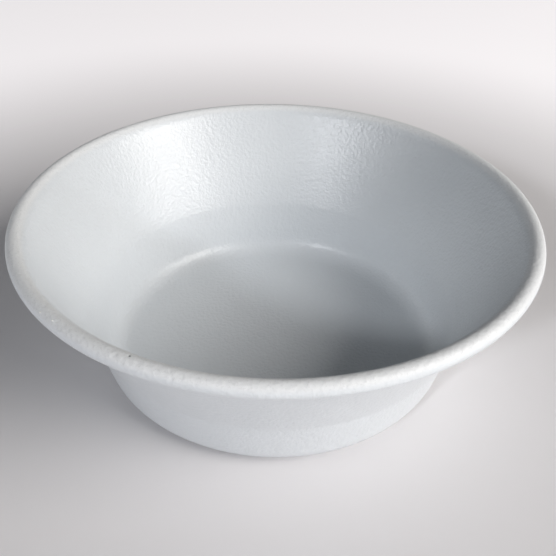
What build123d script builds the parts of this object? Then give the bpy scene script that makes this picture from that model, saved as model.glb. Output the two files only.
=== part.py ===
from build123d import *
from math import acos, asin, cos, degrees, radians, sin, sqrt
import os

# Round flared ward bowl, pressed from sheet steel with its edge rolled round a wire,
# then coated all over. Z is the bowl's axis, Z = 0 is the surface that it stands on.

# Driving dimensions, millimetres and degrees
rim_diameter = 200.0        # over the rolled edge
height = 68.0               # from the surface it stands on to the top of the edge
floor_radius = 61.1         # flat part of the inside floor
corner_radius = 9.2         # between floor and wall, on the inside
wall_angle = 13.5           # straight lower wall, away from vertical
bend_angle = 22.5           # wall just above the bend, away from vertical
bend_radius = 12.0          # bend between the lower wall and the flare
flare_angle = 28.0          # top of the gently flaring wall, away from vertical
lip_angle = 47.0            # where the wall runs into the rolled edge
lip_radius = 14.0           # short turn that takes the flare into the rolled edge
edge_radius = 3.0           # rolled edge, over its coat
sheet = 0.8                 # steel sheet
coat = 0.3                  # coat on each face
wire_clearance = 0.05       # between the wire and the sheet rolled round it
wire_gap = 0.6              # butt joint where the wire's two ends meet
curl_turn = 292.0           # how far the sheet goes round the wire

# Depths below the inside surface, through the wall
steel_top = coat
steel_back = coat + sheet
outside = coat + sheet + coat

edge_centre = Vector(rim_diameter / 2 - edge_radius, 0, height - edge_radius)


def facing(angle):
    """Unit vector square to a wall that leans by angle, on the inside."""
    return Vector(-cos(radians(angle)), 0, sin(radians(angle)))


def round_edge(radius, turn):
    """Point at a radius from the wire's centre, turn degrees on from where the wall runs in."""
    return edge_centre + radius * facing(lip_angle + turn)


# The lip's arc touches the rolled edge, and the flare's arc touches the lip's arc. The bend's
# height and the flare's radius are the ones that close the line between corner and lip.
lip_centre = edge_centre + (edge_radius - lip_radius) * facing(lip_angle)
lip_foot = lip_centre + lip_radius * facing(flare_angle)
corner_centre = Vector(floor_radius, 0, outside + corner_radius)
wall_foot = corner_centre - corner_radius * facing(wall_angle)
wall_slope = Vector(sin(radians(wall_angle)), 0, cos(radians(wall_angle)))
bend_turn = bend_radius * (facing(bend_angle) - facing(wall_angle))
flare_turn = facing(flare_angle) - facing(bend_angle)
rise = lip_foot - wall_foot - bend_turn
flare_radius = rise.cross(wall_slope).Y / flare_turn.cross(wall_slope).Y
wall_length = (rise - flare_radius * flare_turn).dot(wall_slope)
bend_centre = wall_foot + wall_length * wall_slope - bend_radius * facing(wall_angle)
flare_centre = lip_foot - flare_radius * facing(flare_angle)


def wall_path(depth, lip_end=lip_angle):
    """Edges at a depth below the inside surface, from the axis out to lip_end on the lip's arc."""
    floor_end = Vector(floor_radius, 0, outside - depth)
    corner_mid = corner_centre - (corner_radius + depth) * facing((wall_angle + 90) / 2)
    wall_start = corner_centre - (corner_radius + depth) * facing(wall_angle)
    bend_start = bend_centre + (bend_radius - depth) * facing(wall_angle)
    bend_mid = bend_centre + (bend_radius - depth) * facing((wall_angle + bend_angle) / 2)
    flare_start = flare_centre + (flare_radius - depth) * facing(bend_angle)
    flare_mid = flare_centre + (flare_radius - depth) * facing((bend_angle + flare_angle) / 2)
    lip_start = lip_centre + (lip_radius - depth) * facing(flare_angle)
    lip_mid = lip_centre + (lip_radius - depth) * facing((flare_angle + lip_end) / 2)
    lip_stop = lip_centre + (lip_radius - depth) * facing(lip_end)
    return [
        Line(Vector(0, 0, outside - depth), floor_end),
        ThreePointArc(floor_end, corner_mid, wall_start),
        Line(wall_start, bend_start),
        ThreePointArc(bend_start, bend_mid, flare_start),
        ThreePointArc(flare_start, flare_mid, lip_start),
        ThreePointArc(lip_start, lip_mid, lip_stop),
    ]


def edge_arc(radius, turn):
    """Arc round the wire's centre, from where the wall runs in."""
    return ThreePointArc(round_edge(radius, 0), round_edge(radius, turn / 2), round_edge(radius, turn))


def spin_section(edges):
    """Solid of revolution about Z of a closed outline in the XZ plane."""
    return revolve(Face(Wire(edges)), axis=Axis.Z)


# Pressed steel bowl: floor, wall and the edge rolled round the wire, one sheet all through
curl_outside = edge_radius - coat
curl_inside = curl_outside - sheet
bowl_pressing = spin_section([
    *wall_path(steel_top),
    edge_arc(curl_outside, curl_turn),
    Line(round_edge(curl_outside, curl_turn), round_edge(curl_inside, curl_turn)),
    edge_arc(curl_inside, curl_turn),
    *wall_path(steel_back),
    Line(Vector(0, 0, outside - steel_back), Vector(0, 0, outside - steel_top)),
])

# Wire inside the rolled edge, cut to length and butted at the back
wire_radius = curl_inside - wire_clearance
joint_angle = degrees(wire_gap / edge_centre.X)
wire_face = Face(Wire([Edge.make_circle(wire_radius, Plane(edge_centre, z_dir=(0, 1, 0)))]))
rim_wire = revolve(wire_face, axis=Axis.Z, revolution_arc=360 - joint_angle)
rim_wire = rim_wire.rotate(Axis.Z, 90 + joint_angle / 2)

# Crease under the rolled edge, where its coat meets the coat of the outer wall
centres_apart = lip_radius - edge_radius
crease_rise = ((lip_radius - outside) ** 2 - edge_radius**2 - centres_apart**2) / (2 * centres_apart)
crease_turn = 360 - degrees(acos(crease_rise / edge_radius))
crease = round_edge(edge_radius, crease_turn)
crease_drop = sqrt(edge_radius**2 - crease_rise**2)
crease_lip_angle = lip_angle - degrees(asin(crease_drop / (lip_radius - outside)))

# Coat of the inside: floor, wall and over the rolled edge as far as the crease
inner_coat = spin_section([
    *wall_path(0),
    edge_arc(edge_radius, crease_turn),
    Line(crease, round_edge(curl_outside, curl_turn)),
    edge_arc(curl_outside, curl_turn),
    *wall_path(steel_top),
    Line(Vector(0, 0, outside - steel_top), Vector(0, 0, outside)),
])

# Coat of the outside: it fills the crease between the sheet's cut edge and the wall
tip_inner = round_edge(curl_inside, curl_turn)
tip_outer = round_edge(curl_outside, curl_turn)
tip_drop = -curl_inside * sin(radians(curl_turn))
fill_lip_angle = lip_angle - degrees(asin(tip_drop / (lip_radius - steel_back)))
fill_top = lip_centre + (lip_radius - steel_back) * facing(fill_lip_angle)
outer_coat = spin_section([
    *wall_path(steel_back, fill_lip_angle),
    Line(fill_top, tip_inner),
    Line(tip_inner, tip_outer),
    Line(tip_outer, crease),
    *wall_path(outside, crease_lip_angle),
    Line(Vector(0, 0, 0), Vector(0, 0, outside - steel_back)),
])

nodes = {
    "bowl_pressing": bowl_pressing,
    "rim_wire": rim_wire,
    "inner_coat": inner_coat,
    "outer_coat": outer_coat,
}
os.makedirs("parts", exist_ok=True)
for name, solid in nodes.items():
    export_step(solid, f"parts/{name}.step")
    print(name, "volume", round(solid.volume, 1), "mm3")
print("flare radius", round(flare_radius, 1), "lower wall", round(wall_length, 1))
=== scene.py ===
from math import acos, asin, cos, degrees, pi, radians, sin, sqrt

import bpy
from mathutils import Matrix, Vector


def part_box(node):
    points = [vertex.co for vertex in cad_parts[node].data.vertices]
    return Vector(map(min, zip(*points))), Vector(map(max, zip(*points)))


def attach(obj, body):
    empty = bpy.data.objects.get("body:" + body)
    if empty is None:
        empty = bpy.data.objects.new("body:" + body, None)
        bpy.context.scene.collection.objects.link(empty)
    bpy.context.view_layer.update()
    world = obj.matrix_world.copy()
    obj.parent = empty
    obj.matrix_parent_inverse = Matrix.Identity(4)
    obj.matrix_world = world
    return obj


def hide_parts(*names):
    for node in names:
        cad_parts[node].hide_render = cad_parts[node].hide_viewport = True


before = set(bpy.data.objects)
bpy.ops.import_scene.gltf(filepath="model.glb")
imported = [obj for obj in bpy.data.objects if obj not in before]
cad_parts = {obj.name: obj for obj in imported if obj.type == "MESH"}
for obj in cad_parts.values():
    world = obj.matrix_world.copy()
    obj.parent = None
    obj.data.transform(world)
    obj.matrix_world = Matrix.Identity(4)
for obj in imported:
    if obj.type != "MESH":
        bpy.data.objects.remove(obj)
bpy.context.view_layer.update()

# Bowl pressing
# One sheet of 0.8 mm steel, drawn into floor, corner, wall and flare, with its edge rolled
# round a wire. Every other piece follows its line, so the line is worked out here. The sheet
# itself is sealed under the coat and shows only where the coat is chipped.
rim_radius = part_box("inner_coat")[1].x
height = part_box("inner_coat")[1].z
coat = 0.0003
sheet = 0.0008
wall = coat + sheet + coat
floor_radius = 0.0611
corner_radius = 0.0092
bend_radius = 0.012
edge_radius = 0.003
lip_radius = 0.014
curl_turn = 292
wall_angle, bend_angle, flare_angle, lip_angle = 13.5, 22.5, 28.0, 47.0


def facing(angle):
    """Unit vector square to a wall that leans by angle, on the inside."""
    return Vector((-cos(radians(angle)), 0, sin(radians(angle))))


def along(angle):
    """Unit vector up a wall that leans by angle."""
    return Vector((sin(radians(angle)), 0, cos(radians(angle))))


edge_centre = Vector((rim_radius - edge_radius, 0, height - edge_radius))
lip_centre = edge_centre + (edge_radius - lip_radius) * facing(lip_angle)
corner_centre = Vector((floor_radius, 0, wall + corner_radius))
lip_foot = lip_centre + lip_radius * facing(flare_angle)
wall_foot = corner_centre - corner_radius * facing(wall_angle)
bend_turn = bend_radius * (facing(bend_angle) - facing(wall_angle))
flare_turn = facing(flare_angle) - facing(bend_angle)
rise = lip_foot - wall_foot - bend_turn
flare_radius = rise.cross(along(wall_angle)).y / flare_turn.cross(along(wall_angle)).y
wall_length = (rise - flare_radius * flare_turn).dot(along(wall_angle))
bend_centre = wall_foot + wall_length * along(wall_angle) - bend_radius * facing(wall_angle)
flare_centre = lip_foot - flare_radius * facing(flare_angle)


def arc(centre, radius, start, end, steps):
    """Points on an arc, by the angle that the surface faces."""
    turns = [start + (end - start) * i / steps for i in range(steps + 1)]
    return [centre + radius * facing(turn) for turn in turns]


def wall_line(depth, lip_end, fine):
    """Points at a depth below the inside surface, from the axis out to lip_end on the lip."""
    floor_end = Vector((floor_radius, 0, wall - depth))
    floor_rows = round(24 * fine)
    floor = [Vector((floor_end.x * i / floor_rows, 0, floor_end.z)) for i in range(floor_rows)]
    corner = arc(corner_centre, -corner_radius - depth, 90, wall_angle, round(16 * fine))
    bend = arc(bend_centre, bend_radius - depth, wall_angle, bend_angle, round(6 * fine))
    rows = round(9 * fine)
    straight = [corner[-1].lerp(bend[0], i / rows) for i in range(1, rows)]
    flare = arc(flare_centre, flare_radius - depth, bend_angle, flare_angle, round(20 * fine))
    lip = arc(lip_centre, lip_radius - depth, flare_angle, lip_end, round(8 * fine))
    return floor + corner + straight + bend + flare[1:] + lip[1:]


class Value:
    """A shader value. Python's operators on it add the Math nodes."""

    def __init__(self, finish, socket):
        self.finish, self.socket = finish, socket

    def __add__(self, other):
        return self.finish.node("Math", {"operation": "ADD"}, self, other)

    def __rsub__(self, other):
        return self.finish.node("Math", {"operation": "SUBTRACT"}, other, self)

    def __mul__(self, other):
        return self.finish.node("Math", {"operation": "MULTIPLY"}, self, other)

    __radd__, __rmul__ = __add__, __mul__


class Finish:
    """A material under construction: a principled surface and the nodes that feed it."""

    def __init__(self, name):
        self.material = bpy.data.materials.new(name)
        self.material.use_nodes = True
        self.tree = self.material.node_tree
        self.surface = self.tree.nodes["Principled BSDF"]
        self.place = Value(self, self.tree.nodes.new("ShaderNodeTexCoord").outputs["Object"])

    def feed(self, socket, value):
        if isinstance(value, Value):
            self.tree.links.new(value.socket, socket)
        else:
            socket.default_value = value

    def node(self, kind, settings, *values, out=0, **named):
        """Adds a node, makes its settings, feeds its sockets in order or by name."""
        made = self.tree.nodes.new("ShaderNode" + kind)
        for name, setting in settings.items():
            setattr(made, name, setting)
        for socket, value in zip(made.inputs, values):
            self.feed(socket, value)
        for name, value in named.items():
            self.feed(made.inputs[name.replace("_", " ")], value)
        return Value(self, made.outputs[out])

    def noise(self, pitch, detail=2.0, roughness=0.5):
        """Noise with features about pitch apart, in metres, from 0 to 1."""
        values = {"Vector": self.place, "Scale": 1 / pitch, "Detail": detail, "Roughness": roughness}
        return self.node("TexNoise", {}, **values)

    def mask(self, value, low, high):
        """0 below low, 1 above high, and smooth between."""
        settings = {"interpolation_type": "SMOOTHSTEP"}
        return self.node("MapRange", settings, Value=value, From_Min=low, From_Max=high)

    def blend(self, mask, first, second):
        """One colour where the mask is 0 and the other where it is 1."""
        made = self.tree.nodes.new("ShaderNodeMix")
        made.data_type = "RGBA"
        self.feed(made.inputs["Factor"], mask)
        self.feed(made.inputs[6], first)
        self.feed(made.inputs[7], second)
        return Value(self, made.outputs[2])

    def shine(self, **named):
        for name, value in named.items():
            self.feed(self.surface.inputs[name.replace("_", " ")], value)
        return self.material


def dress(piece, material):
    """Gives a piece one material in place of all that it has."""
    piece.data.materials.clear()
    piece.data.materials.append(material)


def pressed_steel():
    finish = Finish("pressed_steel")
    grain = finish.noise(0.0009, detail=5.0, roughness=0.7)
    stain = finish.noise(0.018, detail=3.0)
    colour = finish.blend(stain, (0.20, 0.20, 0.21, 1), (0.34, 0.35, 0.36, 1))
    relief = finish.node("Bump", {}, Height=grain, Strength=0.4, Distance=0.00003)
    return finish.shine(Base_Color=colour, Metallic=0.9, Roughness=0.38 + grain * 0.2, Normal=relief)


dress(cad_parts["bowl_pressing"], pressed_steel())

# Rim wire
# Drawn steel wire, bent into a ring, butted at the back and held by the sheet rolled round
# it. It stiffens the edge and gives it its round section.


def drawn_wire():
    finish = Finish("drawn_wire")
    scale = finish.noise(0.0006, detail=4.0)
    colour = finish.blend(scale, (0.30, 0.30, 0.30, 1), (0.52, 0.52, 0.53, 1))
    relief = finish.node("Bump", {}, Height=scale, Strength=0.3, Distance=0.00002)
    return finish.shine(Base_Color=colour, Metallic=1.0, Roughness=0.28 + scale * 0.15, Normal=relief)


dress(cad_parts["rim_wire"], drawn_wire())

# Inner coat
# Pale grey coat sprayed over the floor, the wall and the rolled edge, and cured, so that it
# keeps a fine orange-peel surface. It ends in the crease under the edge. Two specks of grit
# stand up in it on the front left, and a chip beside them goes through to the steel.
segments = 512
edge_steps = 40
unevenness_pitch = 0.024
unevenness_depth = 0.00006
crease_fade = 0.002
centres_apart = lip_radius - edge_radius
crease_rise = ((lip_radius - wall) ** 2 - edge_radius**2 - centres_apart**2) / (2 * centres_apart)
crease_turn = 360 - degrees(acos(crease_rise / edge_radius))
crease = edge_centre + edge_radius * facing(lip_angle + crease_turn)
curl_radius = edge_radius - coat


def spun(name, section):
    """Draws a section from axis to axis by extruding it point by point, and spins it round Z."""
    bpy.ops.object.select_all(action="DESELECT")
    bpy.ops.mesh.primitive_plane_add(size=coat, location=section[0])
    piece = bpy.context.active_object
    piece.name = piece.data.name = name
    bpy.ops.object.mode_set(mode="EDIT")
    bpy.ops.mesh.select_all(action="SELECT")
    bpy.ops.mesh.merge(type="CENTER")
    for start, end in zip(section, section[1:]):
        bpy.ops.mesh.extrude_region_move(TRANSFORM_OT_translate={"value": end - start})
    bpy.ops.mesh.select_all(action="SELECT")
    bpy.ops.mesh.spin(steps=segments, angle=2 * pi, center=(0, 0, 0), axis=(0, 0, 1))
    bpy.ops.mesh.select_all(action="SELECT")
    bpy.ops.mesh.remove_doubles(threshold=coat / 100)
    bpy.ops.mesh.normals_make_consistent(inside=False)
    bpy.ops.object.mode_set(mode="OBJECT")
    bpy.ops.object.transform_apply(location=True, rotation=True, scale=True)
    bpy.ops.object.shade_smooth_by_angle(angle=radians(40))
    return piece


def settle(piece, shown):
    """Lets the shown vertices sink a little and unevenly, as a drawn and sprayed surface does."""
    group = piece.vertex_groups.new(name="shown")
    for vertex in piece.data.vertices:
        weight = shown(vertex.co)
        if weight > 0:
            group.add([vertex.index], weight, "REPLACE")
    cloud = bpy.data.textures.new(f"{piece.name}_unevenness", "CLOUDS")
    cloud.noise_scale = unevenness_pitch
    cloud.noise_depth = 1
    sink = piece.modifiers.new("unevenness", "DISPLACE")
    sink.texture = cloud
    sink.texture_coords = "LOCAL"
    sink.vertex_group = group.name
    sink.strength = unevenness_depth
    sink.mid_level = 1
    bpy.context.view_layer.objects.active = piece
    bpy.ops.object.modifier_apply(modifier=sink.name)
    piece.vertex_groups.clear()


def off_line(point):
    """How far a point lies from the inside surface's line, measured at its own radius."""
    flat = Vector((Vector((point.x, point.y)).length, 0, point.z))
    if flat.z > edge_centre.z or (flat - edge_centre).length < edge_radius * 1.5:
        return (flat - edge_centre).length - edge_radius
    if flat.x < floor_radius:
        return flat.z - wall
    if flat.z < wall_foot.z:
        return corner_radius - (flat - corner_centre).length
    if flat.z < bend_centre.z + bend_radius * facing(wall_angle).z:
        return (flat - wall_foot).dot(facing(wall_angle))
    if flat.z < bend_centre.z + bend_radius * facing(bend_angle).z:
        return (flat - bend_centre).length - bend_radius
    if flat.z < lip_foot.z:
        return (flat - flare_centre).length - flare_radius
    return (flat - lip_centre).length - lip_radius


inner_section = [
    *wall_line(0, lip_angle, 1),
    *arc(edge_centre, edge_radius, lip_angle, lip_angle + crease_turn, edge_steps)[1:],
    *arc(edge_centre, curl_radius, lip_angle + curl_turn, lip_angle, edge_steps // 2),
    *reversed(wall_line(coat, lip_angle, 0.34)[:-1]),
]
inner_coat = spun("inner_coat_sprayed", inner_section)


def inner_shown(point):
    radius = Vector((point.x, point.y)).length
    on_top = abs(off_line(point)) < coat / 4
    in_crease = (Vector((radius, 0, point.z)) - crease).length
    return min(1.0, in_crease / crease_fade) if on_top else 0.0


settle(inner_coat, inner_shown)


def on_edge(bearing, rise):
    """Point on the rolled edge at a bearing round Z and a rise round the wire, from level."""
    reach = edge_centre.x + edge_radius * cos(radians(rise))
    across = Vector((cos(radians(bearing)), sin(radians(bearing)), 0)) * reach
    return across + Vector((0, 0, edge_centre.z + edge_radius * sin(radians(rise))))


def raise_spot(piece, centre, width, lift):
    """Divides the faces round a point and pulls the middle out by lift, or in if it is negative."""
    bpy.ops.object.select_all(action="DESELECT")
    bpy.context.view_layer.objects.active = piece
    bpy.ops.object.mode_set(mode="EDIT")
    bpy.ops.mesh.select_all(action="DESELECT")
    bpy.ops.mesh.select_mode(type="FACE")
    bpy.ops.object.mode_set(mode="OBJECT")
    nearest = min(piece.data.polygons, key=lambda face: (face.center - centre).length)
    out = nearest.normal.copy()
    for face in piece.data.polygons:
        face.select = (face.center - centre).length < width and face.normal.dot(out) > 0
    bpy.ops.object.mode_set(mode="EDIT")
    bpy.ops.mesh.subdivide(number_cuts=spot_cuts)
    bpy.ops.mesh.select_all(action="DESELECT")
    bpy.ops.mesh.select_mode(type="VERT")
    bpy.ops.object.mode_set(mode="OBJECT")
    middle = min(piece.data.vertices, key=lambda vertex: (vertex.co - centre).length)
    middle.select = True
    bpy.ops.object.mode_set(mode="EDIT")
    bpy.ops.transform.translate(
        value=out * lift,
        use_proportional_edit=True,
        proportional_edit_falloff="SMOOTH",
        proportional_size=width * 0.8,
        use_proportional_connected=True,
    )
    bpy.ops.object.mode_set(mode="OBJECT")
    piece.data.update()


spot_cuts = 4
chip = on_edge(-115.2, 95)
chip_depth = 0.00025
chip_width = 0.00058
grit_specks = on_edge(-136.9, 47.5), on_edge(-133.2, 57.4)
grit_width = 0.0006
grit_height = 0.00022
raise_spot(inner_coat, chip, chip_width, -chip_depth)
for speck in grit_specks:
    raise_spot(inner_coat, speck, grit_width, grit_height)


def coat_finish(name):
    """Satin pale grey coat: orange peel, a soft mottle, a painted highlight whitening the crest,
    rubbed crest and foot, chip and grit.
    """
    finish = Finish(name)
    peel = finish.noise(0.0015, detail=1.5, roughness=0.5)
    grain = finish.noise(0.0007, detail=2.0)
    flow = finish.noise(0.012, detail=2.0)
    mottle = finish.noise(0.03, detail=4.0, roughness=0.6)
    level = finish.node("SeparateXYZ", {}, finish.place, out=2)
    crest = finish.mask(level, height - 0.0026, height - 0.0008)
    colour = finish.blend(mottle, (0.730, 0.764, 0.794, 1), (0.780, 0.812, 0.838, 1))
    colour = finish.blend(peel * 0.05, colour, (0.46, 0.50, 0.53, 1))
    scuff = finish.noise(0.004, detail=6.0, roughness=0.75)
    rubbed_foot = (1 - finish.mask(level, 0.0003, 0.0012)) * finish.mask(scuff, 0.5, 0.62)
    colour = finish.blend(rubbed_foot * 0.4, colour, (0.42, 0.43, 0.44, 1))
    # Painted highlight: the crest of the rolled edge is whitened so that its top reads lighter, as
    # light from above makes it.
    colour = finish.blend(crest * 0.45, colour, (0.88, 0.88, 0.87, 1))
    rubbed_crest = crest * finish.mask(grain, 0.54, 0.70)
    colour = finish.blend(rubbed_crest * 0.25, colour, (0.52, 0.53, 0.53, 1))
    for speck in grit_specks:
        off = finish.node("VectorMath", {"operation": "DISTANCE"}, finish.place, speck, out=1)
        grit = 1 - finish.mask(off, grit_width * 0.3, grit_width * 0.8)
        colour = finish.blend(grit, colour, (0.95, 0.95, 0.93, 1))
    off = finish.node("VectorMath", {"operation": "DISTANCE"}, finish.place, chip, out=1)
    bare = 1 - finish.mask(off + grain * 0.0003, chip_width * 0.6, chip_width * 1.1)
    colour = finish.blend(bare, colour, (0.10, 0.11, 0.11, 1))
    height_map = peel * 0.9 + grain * 0.35 + flow * 0.3
    relief = finish.node("Bump", {}, Height=height_map, Strength=1.0, Distance=0.00027)
    roughness = 0.26 + flow * 0.08 + grain * 0.03 + crest * 0.24 + rubbed_foot * 0.2
    finish.surface.inputs["IOR"].default_value = 1.55
    return finish.shine(Base_Color=colour, Roughness=roughness, Normal=relief)


grey_coat = coat_finish("grey_coat_sprayed")
dress(inner_coat, grey_coat)
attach(inner_coat, "root")
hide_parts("inner_coat")

# Outer coat
# The same coat on the outside: down from the crease under the rolled edge, where it seals
# the sheet's cut edge, over the wall and the corner, and across the underside.
crease_drop = sqrt(edge_radius**2 - crease_rise**2)
crease_lip_angle = lip_angle - degrees(asin(crease_drop / (lip_radius - wall)))
tip_inner = edge_centre + (curl_radius - sheet) * facing(lip_angle + curl_turn)
tip_outer = edge_centre + curl_radius * facing(lip_angle + curl_turn)
tip_drop = (tip_inner - edge_centre).dot(-along(lip_angle))
fill_lip_angle = lip_angle - degrees(asin(tip_drop / (lip_radius - coat - sheet)))

outer_section = [
    *wall_line(wall, crease_lip_angle, 1),
    tip_outer,
    tip_inner,
    *reversed(wall_line(coat + sheet, fill_lip_angle, 0.34)),
]
outer_coat = spun("outer_coat_sprayed", outer_section)


def outer_shown(point):
    radius = Vector((point.x, point.y)).length
    outside = abs(off_line(point) + wall) < coat / 4
    in_crease = (Vector((radius, 0, point.z)) - crease).length
    return min(1.0, in_crease / crease_fade) if outside and point.z > coat else 0.0


settle(outer_coat, outer_shown)
dress(outer_coat, grey_coat)
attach(outer_coat, "root")
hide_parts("outer_coat")

# Studio
# A pale floor that glows with painted light, faint near the bowl and rising away from it, with a low
# pale band all round behind it.
# A large soft light stands to the right, and a small, weaker one to the front left.
light_distance = 2.5
bpy.ops.object.select_all(action="DESELECT")
bpy.ops.mesh.primitive_plane_add(size=8, location=(0, 0, 0))
studio_floor = bpy.context.active_object
studio_floor.name = "studio_floor"
pale = Finish("pale_floor")
off_middle = pale.node("VectorMath", {"operation": "LENGTH"}, pale.place, out=1)
far_out = pale.mask(off_middle, 0.15, 0.42)
pale.surface.inputs["Emission Strength"].default_value = 1.0
pale.surface.inputs["Roughness"].default_value = 0.9
# Painted light: the floor's own glow, faint near the bowl and strong further out.
pale_glow = pale.blend(far_out, (0.02, 0.02, 0.02, 1), (0.51, 0.495, 0.505, 1))
dress(studio_floor, pale.shine(Base_Color=(0.755, 0.74, 0.75, 1), Emission_Color=pale_glow))


def soft_light(name, bearing, rise, size, power, colour):
    """A square soft light that looks at the bowl's mouth from a bearing round Z."""
    bpy.ops.object.light_add(type="AREA")
    light = bpy.context.active_object
    light.name = name
    light.data.energy = power
    light.data.size = size
    light.data.color = colour
    mouth = Vector((0, 0, height * 0.7))
    level = Vector((cos(radians(bearing)), sin(radians(bearing)), 0)) * cos(radians(rise))
    light.location = mouth + (level + Vector((0, 0, sin(radians(rise))))) * light_distance
    light.rotation_euler = (light.location - mouth).to_track_quat("Z", "Y").to_euler()


soft_light("key", -25.8, 29.8, 1.5, 61, (1.0, 0.97, 0.94))
soft_light("fill", -121.5, 29, 0.2, 17.5, (0.98, 1.0, 1.04))
world = bpy.data.worlds.new("studio")
bpy.context.scene.world = world
world.use_nodes = True
nodes, links = world.node_tree.nodes, world.node_tree.links
direction = nodes.new("ShaderNodeTexCoord")
parts = nodes.new("ShaderNodeSeparateXYZ")
above_floor = nodes.new("ShaderNodeMapRange")
above_floor.inputs["From Min"].default_value = sin(radians(1))
above_floor.inputs["From Max"].default_value = sin(radians(8))
above_floor.inputs["To Min"].default_value = 0.5
above_floor.inputs["To Max"].default_value = 0.03
links.new(direction.outputs["Generated"], parts.inputs["Vector"])
links.new(parts.outputs["Z"], above_floor.inputs["Value"])
links.new(above_floor.outputs["Result"], nodes["Background"].inputs["Strength"])
nodes["Background"].inputs["Color"].default_value = (0.97, 0.98, 1.0, 1)
bpy.context.scene.view_settings.view_transform = "Standard"

# Camera
# It looks down on the bowl from the front, close enough for the near side of the rim to
# spread and the far side to shrink.
bpy.ops.object.camera_add()
camera = bpy.context.active_object
camera.data.sensor_width = 36
camera.data.lens = 47.1
camera_place = Vector((0, -0.2425, 0.2085))
pitch, yaw, roll = radians(35.9), radians(0.25), radians(1.19)
turned = Matrix.Rotation(-yaw, 4, "Z") @ Matrix.Rotation(pi / 2 - pitch, 4, "X")
camera.matrix_world = Matrix.Translation(camera_place) @ turned @ Matrix.Rotation(roll, 4, "Z")
camera.data.clip_start = 0.01
bpy.context.scene.camera = camera
